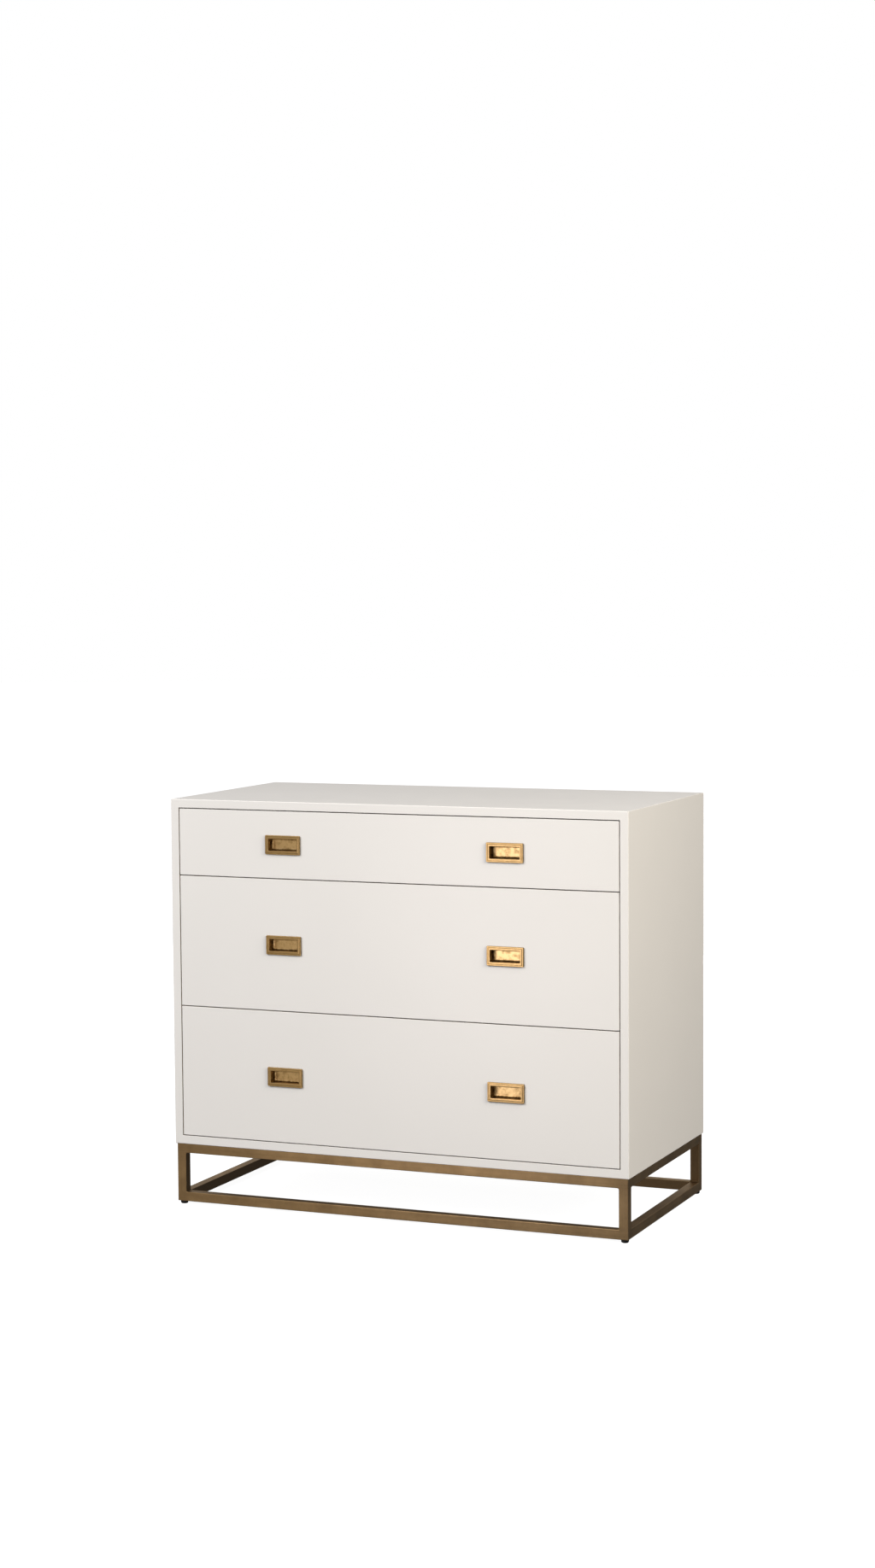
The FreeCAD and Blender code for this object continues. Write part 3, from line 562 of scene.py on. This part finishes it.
# ---------------------------------------------------------------- the cast pull
def pull_profile(sizes):
    """The casting's section from the middle of its back to the middle of its cup.

    Each entry is (distance in from the plate's outline, depth behind the front's face, radius in
    the corners, how far it is rubbed). Depth is negative in front of the drawer front. The low
    rub of the cup's walls and corners paints shade there as well as tarnish.
    """
    rise = (FRONT_LOW.y - PULL_LOW.y) / MM
    wall_in = (sizes.border - sizes.cup_wall) / MM
    depth = sizes.cup_depth / MM
    bevel, groove, border = sizes.bevel / MM, sizes.groove / MM, sizes.border / MM
    band = rise - sizes.step / MM
    line = band - sizes.groove_depth / MM
    chased = 3.0
    rim = chased + groove
    mouth, plate_corner = sizes.mouth_round / MM, sizes.corner / MM
    floor = depth - sizes.cup_floor / MM
    rings = [
        # the cup's back and outer walls, and the back of the plate
        (wall_in + 12.0, depth, 1.0, 0.3), (wall_in + 1.6, depth, 2.2, 0.3),
        (wall_in + 0.5, depth - 0.5, 2.8, 0.3), (wall_in, depth - 1.6, 3.0, 0.2),
        (wall_in, 0.0, 3.0, 0.2), (0.25, 0.0, 2.0, 0.2),
        # the plate's edge and its bevel
        (0.0, -0.25, plate_corner, 0.3), (0.0, 1.3 - band, plate_corner, 0.35),
        (0.1, 0.95 - band, plate_corner - 0.05, 0.8), (0.35, 0.72 - band, 2.0, 0.95),
        (bevel - 0.3, 0.08 - band, 1.0, 0.8), (bevel, -band, 0.8, 0.85),
        # the flat band, the chased line and the raised inner rim
        (bevel + 0.4, -band, 0.7, 0.7), (chased - 0.3, -band, 0.6, 0.68), (chased, -band, 0.6, 0.6),
        (chased + groove * 0.3, -line, 0.6, 0.45), (chased + groove * 0.7, -line, 0.6, 0.45),
        (rim, -rise + 0.12, 0.6, 0.65), (rim + 0.25, -rise, 0.6, 0.9), (rim + 0.9, -rise, 0.6, 0.72),
        (border - mouth - 0.8, -rise, 0.8, 0.7),
    ]
    for degrees in (0, 30, 60, 90):
        turn = math.radians(degrees)
        rings.append((border - mouth + mouth * math.sin(turn), -rise + mouth * (1 - math.cos(turn)),
                      sizes.mouth_corner / MM, 0.95 - 0.35 * degrees / 90))
    # The rub falls lowest where the cup's walls turn into its back: tarnish there, and painted shade too.
    corner, turn_in = sizes.cup_corner / MM, sizes.cup_round / MM
    rings += [(border + 0.1, -rise + mouth + 2.0, 1.3, 0.5), (border + 0.25, floor - turn_in - 5, 2.0, 0.35)]
    for step in range(7):
        turn = math.radians(15 * step)
        inset = border + 0.5 + turn_in * (1 - math.cos(turn))
        level = floor - turn_in + turn_in * math.sin(turn)
        radius = corner - (corner - 1.8) * (1 - math.cos(turn))
        rings.append((inset, level, radius, 0.22 + 0.66 * (step / 6) ** 2))
    last = border + 0.5 + turn_in
    for inset in (1.3, 2.6, 3.9, 5.2):
        rings.append((last + inset, floor, 1.4, 0.98))
    return rings


def add_loop(half_x, half_z, radius, depth):
    """Adds a rounded rectangular loop of edges to the edited mesh, square to the depth."""
    corner_cuts, long_cuts, short_cuts = 5, 24, 10
    slack = 1e-7
    first = len(edit_mesh().verts)
    bpy.ops.mesh.select_all(action="DESELECT")
    bpy.ops.mesh.primitive_plane_add(size=2.0, location=(0, depth, 0), rotation=(math.radians(90), 0, 0))
    bpy.ops.transform.resize(value=(half_x, 1.0, half_z))
    bpy.ops.mesh.bevel(offset=radius, offset_type="OFFSET", segments=corner_cuts, affect="VERTICES")
    bpy.ops.mesh.delete(type="ONLY_FACE")
    for cuts, across in ((long_cuts, 2), (short_cuts, 0)):
        select_where(lambda e: min(e.verts[0].index, e.verts[1].index) >= first
                     and abs(e.verts[0].co[across] - e.verts[1].co[across]) < slack, "edges")
        bpy.ops.mesh.subdivide(number_cuts=cuts)


def cast_body(sizes):
    """The lofted casting with its plate's middle on the front's face at the origin.

    Loops in one plane would bridge across each other, so they stand apart until all are bridged.
    """
    apart = 40 * MM
    half_x = (PULL_HIGH.x - PULL_LOW.x) / 2
    half_z = (PULL_HIGH.z - PULL_LOW.z) / 2
    rings = pull_profile(sizes)
    pick()
    bpy.ops.mesh.primitive_plane_add(size=1.0)
    bpy.ops.object.mode_set(mode="EDIT")
    bpy.ops.mesh.select_all(action="SELECT")
    bpy.ops.mesh.delete(type="VERT")
    starts = []
    for n, (inset, depth, radius, _) in enumerate(rings):
        starts.append(len(edit_mesh().verts))
        add_loop(half_x - inset * MM, half_z - inset * MM, radius * MM, n * apart)
    starts.append(len(edit_mesh().verts))
    for n in range(len(rings) - 1):
        select_where(lambda v, n=n: starts[n] <= v.index < starts[n + 2])
        bpy.ops.mesh.bridge_edge_loops()
    for n in (0, len(rings) - 1):
        select_where(lambda v, n=n: starts[n] <= v.index < starts[n + 1])
        bpy.ops.mesh.edge_face_add()
    for n, (_, depth, _, _) in enumerate(rings):
        select_where(lambda v, n=n: starts[n] <= v.index < starts[n + 1])
        bpy.ops.transform.translate(value=(0, depth * MM - n * apart, 0))
    bpy.ops.mesh.select_all(action="SELECT")
    bpy.ops.mesh.normals_make_consistent(inside=False)
    bpy.ops.object.mode_set(mode="OBJECT")
    body = bpy.context.object
    rubbed = body.data.attributes.new("rubbed", "FLOAT", "POINT")
    filed = body.data.attributes.new("filed", "FLOAT", "POINT")
    for n, (_, depth, _, rub) in enumerate(rings):
        for index in range(starts[n], starts[n + 1]):
            rubbed.data[index].value = rub
            filed.data[index].value = 1.0 if depth < -1.0 else 0.0
    return body


# ---------------------------------------------------------------- operators
class CHEST_OT_lacquered_boards(bpy.types.Operator):
    """Lacquers the case boards and the drawer fronts, and paints the back"""

    bl_idname = "chest.lacquered_boards"
    bl_label = "Lacquered boards"

    def execute(self, context):
        colours = context.scene.chest_finishes
        dress(sprayed_lacquer("case_satin_lacquer", colours, True), *CASE_BOARDS)
        fronts = [f"{drawer}_drawer_front" for drawer in DRAWERS]
        dress(sprayed_lacquer("front_satin_lacquer", colours, False), *fronts)
        dress(rolled_paint("roller_painted_hardboard", colours), "back_panel")
        return {"FINISHED"}


class CHEST_OT_wooden_parts(bpy.types.Operator):
    """Finishes the rails, dowels and drawer boxes in clear-coated wood"""

    bl_idname = "chest.wooden_parts"
    bl_label = "Wooden parts"

    def execute(self, context):
        colours = context.scene.chest_finishes
        across = planed_wood("maple_along_x", colours.maple_pale, colours.maple_dark, "X", 5.0, 0.42)
        deep = planed_wood("maple_along_y", colours.maple_pale, colours.maple_dark, "Y", 5.0, 0.42)
        veneer = planed_wood("birch_veneer", colours.birch_pale, colours.birch_dark, "X", 12.0, 0.38)
        turned = planed_wood("beech_dowel", colours.maple_pale, colours.maple_dark, "X", 2.0, 0.6)
        dress(across, "upper_rail", "lower_rail")
        dress(turned, "case_dowels")
        for drawer in DRAWERS:
            dress(across, f"{drawer}_drawer_box_front", f"{drawer}_drawer_box_back")
            dress(deep, f"{drawer}_drawer_box_left_side", f"{drawer}_drawer_box_right_side")
            dress(veneer, f"{drawer}_drawer_box_bottom")
        return {"FINISHED"}


class CHEST_OT_tube_base(bpy.types.Operator):
    """Bronzes the base's tubes, brushed along each, and rounds their inner corners with welds"""

    bl_idname = "chest.tube_base"
    bl_label = "Tube base"

    def execute(self, context):
        colours = context.scene.chest_finishes
        brushed = {
            axis: bronzed_plate(f"bronzed_plate_along_{axis.lower()}", colours, axis) for axis in "XYZ"
        }
        for ring in ("top", "bottom"):
            dress(brushed["X"], f"base_{ring}_front_tube", f"base_{ring}_back_tube")
            dress(brushed["Y"], f"base_{ring}_left_tube", f"base_{ring}_right_tube")
        dress(brushed["Z"], "base_legs")
        weld = self.one_weld(context.scene.chest_fittings.weld_radius)
        welds = [copied(weld, f"weld_{n}", place) for n, place in enumerate(self.places())]
        bpy.data.objects.remove(weld)
        whole = joined(welds, "base_welds")
        give(whole, brushed["Z"])
        smooth(whole, 40)
        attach(whole, "case")
        return {"FINISHED"}

    def one_weld(self, radius):
        """A ground weld filling a corner at the origin, hollowed to a radius towards +X and +Z."""
        inset, sunk = 0.5 * MM, 0.4 * MM
        depth, size = TUBE - 2 * inset, radius + sunk
        pick()
        bpy.ops.mesh.primitive_cylinder_add(
            vertices=48, radius=radius, depth=2 * TUBE, location=(radius, TUBE / 2, radius),
            rotation=(math.radians(90), 0, 0))
        cutter = bpy.context.object
        middle = (radius - sunk) / 2
        bpy.ops.mesh.primitive_cube_add(
            size=1.0, location=(middle, TUBE / 2, middle), scale=(size, depth, size))
        weld = bpy.context.object
        settle(weld)
        add_modifier(weld, "BOOLEAN", operation="DIFFERENCE", object=cutter, solver="EXACT")
        bpy.data.objects.remove(cutter)
        return weld

    def places(self):
        """Where the sixteen welds go: four in each side of the base."""
        low, high = TUBE_HIGH.z, TOP_TUBE_LOW.z
        left, right = LEG_LOW.x + TUBE, LEG_HIGH.x - TUBE
        front, back = LEG_LOW.y + TUBE, LEG_HIGH.y - TUBE
        quarter = [Matrix.Rotation(math.radians(90 * n), 4, "Y") for n in range(4)]
        corners = [(left, low, 0), (left, high, 1), (right, high, 2), (right, low, 3)]
        found = []
        for y in (front - TUBE, back):
            found += [Matrix.Translation((x, y, z)) @ quarter[turn] for x, z, turn in corners]
        sideways = Matrix.Rotation(math.radians(90), 4, "Z")
        corners = [(front, low, 0), (front, high, 1), (back, high, 2), (back, low, 3)]
        for x in (left, right + TUBE):
            found += [Matrix.Translation((x, y, z)) @ sideways @ quarter[turn] for y, z, turn in corners]
        return found


class CHEST_OT_flush_pulls(bpy.types.Operator):
    """Casts one flush pull and sets a copy of it at each of the six places"""

    bl_idname = "chest.flush_pulls"
    bl_label = "Flush pulls"

    def execute(self, context):
        sizes = context.scene.chest_pull
        brass = aged_cast_brass("aged_cast_brass", context.scene.chest_finishes)
        pull = cast_body(sizes)
        self.roughen(pull, sizes)
        for side in (-1, 1):
            boss = self.boss(sizes, side * sizes.boss_spacing / 2)
            add_modifier(pull, "BOOLEAN", operation="UNION", object=boss, solver="EXACT")
            bpy.data.objects.remove(boss)
        smooth(pull, 50)
        give(pull, brass)
        for drawer in DRAWERS:
            for side in SIDES:
                node = f"{drawer}_drawer_{side}_pull"
                low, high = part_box(node)
                face = Vector(((low.x + high.x) / 2, FRONT_LOW.y, (low.z + high.z) / 2))
                piece = copied(pull, f"{node}_casting", Matrix.Translation(face))
                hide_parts(node)
                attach(piece, f"{drawer}_drawer")
        bpy.data.objects.remove(pull)
        return {"FINISHED"}

    def roughen(self, pull, sizes):
        """Lets the cup's skin wander as sand-cast metal does."""
        pull.vertex_groups.new(name="cup")
        floor = sizes.cup_depth - sizes.cup_floor
        reach_x = (PULL_HIGH.x - PULL_LOW.x) / 2 - sizes.border
        reach_z = (PULL_HIGH.z - PULL_LOW.z) / 2 - sizes.border
        for vert in pull.data.vertices:
            inner = abs(vert.co.x) < reach_x and abs(vert.co.z) < reach_z and vert.co.y < floor + 0.1 * MM
            weight = max(0.0, min(1.0, vert.co.y / floor)) if inner else 0.0
            pull.vertex_groups["cup"].add([vert.index], weight, "REPLACE")
        skin = bpy.data.textures.new("sand_cast_skin", "CLOUDS")
        skin.noise_scale = 9 * MM
        skin.noise_depth = 2
        add_modifier(pull, "DISPLACE", texture=skin, texture_coords="LOCAL", strength=2 * sizes.unevenness,
                     mid_level=0.5, vertex_group="cup")

    def boss(self, sizes, x):
        """A threaded boss on the cup's back, drilled blind."""
        sunk = 0.6 * MM
        end = PULL_HIGH.y - FRONT_LOW.y
        start = sizes.cup_depth - sunk
        pick()
        bpy.ops.mesh.primitive_cylinder_add(
            vertices=32, radius=sizes.boss_radius, depth=end - start, location=(x, (start + end) / 2, 0),
            rotation=(math.radians(-90), 0, 0))
        boss = bpy.context.object
        settle(boss)
        bpy.ops.object.mode_set(mode="EDIT")
        select_where(lambda f: f.normal.y > FACING, "faces")
        bpy.ops.mesh.inset(thickness=sizes.boss_radius - sizes.boss_hole)
        bpy.ops.mesh.extrude_region_move(TRANSFORM_OT_translate={"value": (0, start - end + sunk, 0)})
        bpy.ops.object.mode_set(mode="OBJECT")
        return boss


class CHEST_OT_floor_glides(bpy.types.Operator):
    """Finishes the push-in glides in black nylon"""

    bl_idname = "chest.floor_glides"
    bl_label = "Floor glides"

    def execute(self, context):
        dress(moulded_nylon("black_moulded_nylon", context.scene.chest_finishes), "floor_glides")
        return {"FINISHED"}


class CHEST_OT_ball_slides(bpy.types.Operator):
    """Finishes the ball slides in zinc, their cages in greased steel"""

    bl_idname = "chest.ball_slides"
    bl_label = "Ball slides"

    def execute(self, context):
        colours = context.scene.chest_finishes
        bright = zinc_plate("zinc_plated_strip", colours, "Y", 0.0)
        greased = zinc_plate("greased_steel", colours, "Y", 0.35)
        dress(bright, "slide_case_channels")
        for drawer in DRAWERS:
            dress(bright, f"{drawer}_drawer_slide_members", f"{drawer}_drawer_slide_middles")
            dress(greased, f"{drawer}_drawer_outer_ball_cages", f"{drawer}_drawer_inner_ball_cages")
        return {"FINISHED"}


class CHEST_OT_screws(bpy.types.Operator):
    """Punches a cross recess in each screw's head and finishes the screws in zinc"""

    bl_idname = "chest.screws"
    bl_label = "Screws"

    def execute(self, context):
        zinc = zinc_plate("zinc_plated_screw", context.scene.chest_finishes, "X", 0.1)
        punch = self.cross_punch(context.scene.chest_fittings)
        carriers = {"case_screws": "case", "base_screws": "case"}
        carriers.update({f"{drawer}_drawer_screws": f"{drawer}_drawer" for drawer in DRAWERS})
        for node, body in carriers.items():
            screws = self.merged_copy(node)
            heads = [copied(punch, f"head_{n}", place) for n, place in enumerate(self.heads(screws))]
            cutter = joined(heads, "punches")
            add_modifier(screws, "BOOLEAN", operation="DIFFERENCE", object=cutter, solver="EXACT")
            bpy.data.objects.remove(cutter)
            give(screws, zinc)
            smooth(screws, 35)
            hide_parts(node)
            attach(screws, body)
        bpy.data.objects.remove(punch)
        return {"FINISHED"}

    def cross_punch(self, sizes):
        """A punch with four wings that narrows downwards, its working end below the origin."""
        proud, narrowing = 0.5 * MM, 0.45
        wings = []
        for turn in (0, 90):
            pick()
            bpy.ops.mesh.primitive_cube_add(
                size=1.0, location=(0, 0, (proud - sizes.recess_depth) / 2),
                rotation=(0, 0, math.radians(turn)),
                scale=(sizes.recess_width, sizes.recess_slot, sizes.recess_depth + proud))
            wing = bpy.context.object
            settle(wing)
            bpy.ops.object.mode_set(mode="EDIT")
            select_where(lambda f: f.normal.z < -FACING, "faces")
            bpy.ops.transform.resize(value=(narrowing, narrowing, 1.0))
            bpy.ops.object.mode_set(mode="OBJECT")
            wings.append(wing)
        add_modifier(wings[0], "BOOLEAN", operation="UNION", object=wings[1], solver="EXACT")
        bpy.data.objects.remove(wings[1])
        return wings[0]

    def merged_copy(self, node):
        """A copy of a node's screws with their triangles joined."""
        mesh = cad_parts[node].data.copy()
        screws = bpy.data.objects.new(f"{node}_punched", mesh)
        bpy.context.scene.collection.objects.link(screws)
        pick(screws)
        bpy.ops.object.mode_set(mode="EDIT")
        bpy.ops.mesh.select_all(action="SELECT")
        bpy.ops.mesh.remove_doubles(threshold=0.001 * MM)
        bpy.ops.object.mode_set(mode="OBJECT")
        bpy.ops.mesh.customdata_custom_splitnormals_clear()
        return screws

    def heads(self, screws):
        """The turn and place of each screw's head: the wider end of its longest direction."""
        mesh = bmesh.new()
        mesh.from_mesh(screws.data)
        seen, found = set(), []
        for start in mesh.verts:
            if start in seen:
                continue
            seen.add(start)
            waiting, points = [start], []
            while waiting:
                vert = waiting.pop()
                points.append(vert.co.copy())
                near = [edge.other_vert(vert) for edge in vert.link_edges]
                waiting += [other for other in near if other not in seen]
                seen.update(near)
            found.append(self.head(points))
        mesh.free()
        return found

    def head(self, points):
        """One screw's head from its mesh's points."""
        low = Vector([min(point[n] for point in points) for n in range(3)])
        high = Vector([max(point[n] for point in points) for n in range(3)])
        middle, size = (low + high) / 2, high - low
        along = max(range(3), key=lambda n: size[n])
        outwards = Vector([float(n == along) for n in range(3)])

        near_end = 0.4 * size[along]

        def width(side):
            """How wide the screw is near one of its ends."""
            beyond = [point - middle for point in points if (point - middle).dot(side) > near_end]
            return max((offset - side * offset.dot(side)).length for offset in beyond)

        if width(-outwards) > width(outwards):
            outwards = -outwards
        top = middle + outwards * size[along] / 2
        return Matrix.Translation(top) @ outwards.to_track_quat("Z", "Y").to_matrix().to_4x4()


MIDDLE = (0, 0, (CAD_BOX[0][2] + CAD_BOX[1][2]) / 2)
# The softboxes give even light without hot spots in the metal. The strip and the warm card show
# only as reflections: the strip in the right pulls and the card in the left ones.
LIGHTS = (
    # name, place, aim, size in metres, power in watts, colour, what doesn't see it
    ("key_softbox", (-2.6, -3.6, 3.2), MIDDLE, (2.4, 2.4), 180, "#FCFDFF", "glossy"),
    ("fill_softbox", (3.0, -1.4, 2.1), MIDDLE, (1.6, 1.6), 101, "#FFF9EC", "glossy"),
    ("back_softbox", (-0.8, 3.8, 0.42), (0, 0, 0.42), (2.4, 0.8), 100, "#FFFFFF", "glossy"),
    ("low_strip", (-0.16, -1.3, 0.46), (0.3, 0, 0.44), (0.46, 0.86), 2.45, "#FFF4F4", "diffuse"),
    ("left_card", (-0.9, -1.5, 0.22), (-0.3, 0, 0.2), (0.8, 1.6), 0.7, "#FFE0A8", "diffuse"),
)


class CHEST_OT_studio(bpy.types.Operator):
    """Adds the pale floor, the soft lights and the camera"""

    bl_idname = "chest.studio"
    bl_label = "Studio"

    def execute(self, context):
        settings = context.scene.chest_studio
        self.add_floor(settings)
        self.add_surroundings(context.scene)
        for light in LIGHTS:
            self.add_light(*light)
        self.add_camera(context.scene, settings)
        context.scene.view_settings.view_transform = "Standard"
        return {"FINISHED"}

    def add_floor(self, settings):
        """A round pale floor of paper on a light table, seamless to the eye."""
        pick()
        bpy.ops.mesh.primitive_circle_add(vertices=96, radius=settings.floor_radius, fill_type="NGON")
        floor = bpy.context.object
        floor.name = "studio_floor"
        material, tree, shader, place = finish_named("studio_paper")
        fibre = put(tree, "TexNoise", {"Vector": place, "Scale": per_metre(400)})
        shade = put(tree, "HueSaturation", {
            "Color": settings.floor_colour, "Value": put(tree, "MapRange", {0: fibre, 3: 0.99, 4: 1.01}),
        })
        feed(tree, shader, {
            "Base Color": shade, "Roughness": 0.9, "Emission Color": (1, 1, 1, 1),
            "Emission Strength": settings.floor_glow,
        })
        give(floor, material)
        floor.visible_glossy = False
        floor.visible_diffuse = False

    def add_surroundings(self, scene):
        """White behind the chest, and a graded studio for light and reflections."""
        world = bpy.data.worlds.new("studio_surroundings")
        scene.world = world
        world.use_nodes = True
        tree = world.node_tree
        tree.nodes.clear()
        towards = put(tree, "TexCoord").outputs["Generated"]
        key_side = put(tree, "VectorMath", {0: towards, 1: Vector((-0.45, -0.8, 0.4)).normalized()},
                       operation="DOT_PRODUCT")
        bright = put(tree, "MapRange", {0: key_side.outputs["Value"], 1: -0.7, 2: 0.9, 3: 0.29, 4: 0.58})
        height = put(tree, "SeparateXYZ", {0: towards})
        raised = put(tree, "MapRange", {0: height.outputs[2], 1: -0.1, 2: 0.6, 3: 0.3, 4: 1.15})
        level = put(tree, "Math", {0: bright, 1: raised}, operation="MULTIPLY")
        studio = put(tree, "Background", {"Color": (1, 1, 1, 1), "Strength": level})
        white = put(tree, "Background", {"Color": (1, 1, 1, 1)})
        seen = put(tree, "LightPath").outputs["Is Camera Ray"]
        chosen = put(tree, "MixShader", {0: seen, 1: studio, 2: white})
        put(tree, "OutputWorld", {"Surface": chosen})

    def add_light(self, name, place, aim, size, power, hex_colour, unseen_by):
        """A rectangular light that neither the camera nor one kind of ray sees."""
        light = bpy.data.lights.new(name, "AREA")
        light.shape = "RECTANGLE"
        light.size, light.size_y = size
        light.energy = power
        light.color = linear(hex_colour)[:3]
        box = bpy.data.objects.new(name, light)
        bpy.context.scene.collection.objects.link(box)
        box.location = place
        box.rotation_euler = (Vector(aim) - Vector(place)).to_track_quat("-Z", "Y").to_euler()
        box.visible_camera = False
        setattr(box, f"visible_{unseen_by}", False)

    def add_camera(self, scene, settings):
        """The camera at its fitted place."""
        camera = bpy.data.objects.new("studio_camera", bpy.data.cameras.new("studio_camera"))
        scene.collection.objects.link(camera)
        camera.matrix_world = (
            Matrix.Translation(settings.camera_place) @ Matrix.Rotation(settings.camera_azimuth, 4, "Z")
            @ Matrix.Rotation(math.pi / 2 - settings.camera_elevation, 4, "X")
            @ Matrix.Rotation(settings.camera_roll, 4, "Z"))
        camera.data.sensor_fit = "VERTICAL"
        camera.data.sensor_height = 36.0
        camera.data.lens = settings.lens
        scene.camera = camera


STEPS = (
    CHEST_OT_lacquered_boards, CHEST_OT_wooden_parts, CHEST_OT_tube_base, CHEST_OT_flush_pulls,
    CHEST_OT_floor_glides, CHEST_OT_ball_slides, CHEST_OT_screws, CHEST_OT_studio,
)


class CHEST_PT_looks(bpy.types.Panel):
    """The chest's finishes, sizes and steps"""

    bl_label = "Campaign chest"
    bl_space_type = "VIEW_3D"
    bl_region_type = "UI"
    bl_category = "Chest"

    def draw(self, context):
        for group in ("chest_finishes", "chest_pull", "chest_fittings", "chest_studio"):
            box = self.layout.box()
            settings = getattr(context.scene, group)
            for name in settings.bl_rna.properties.keys():
                if name not in ("rna_type", "name"):
                    box.prop(settings, name)
        for step in STEPS:
            self.layout.operator(step.bl_idname)


GROUPS = {
    "chest_finishes": ChestFinishes, "chest_pull": PullSizes, "chest_fittings": FittingSizes,
    "chest_studio": StudioSettings,
}


def register():
    for name, group in GROUPS.items():
        bpy.utils.register_class(group)
        setattr(bpy.types.Scene, name, PointerProperty(type=group))
    for kind in (*STEPS, CHEST_PT_looks):
        bpy.utils.register_class(kind)


def unregister():
    for kind in (CHEST_PT_looks, *reversed(STEPS)):
        bpy.utils.unregister_class(kind)
    for name, group in GROUPS.items():
        delattr(bpy.types.Scene, name)
        bpy.utils.unregister_class(group)


def main():
    register()
    for step in STEPS:
        group, action = step.bl_idname.split(".")
        getattr(getattr(bpy.ops, group), action)()


if __name__ == "__main__":
    main()
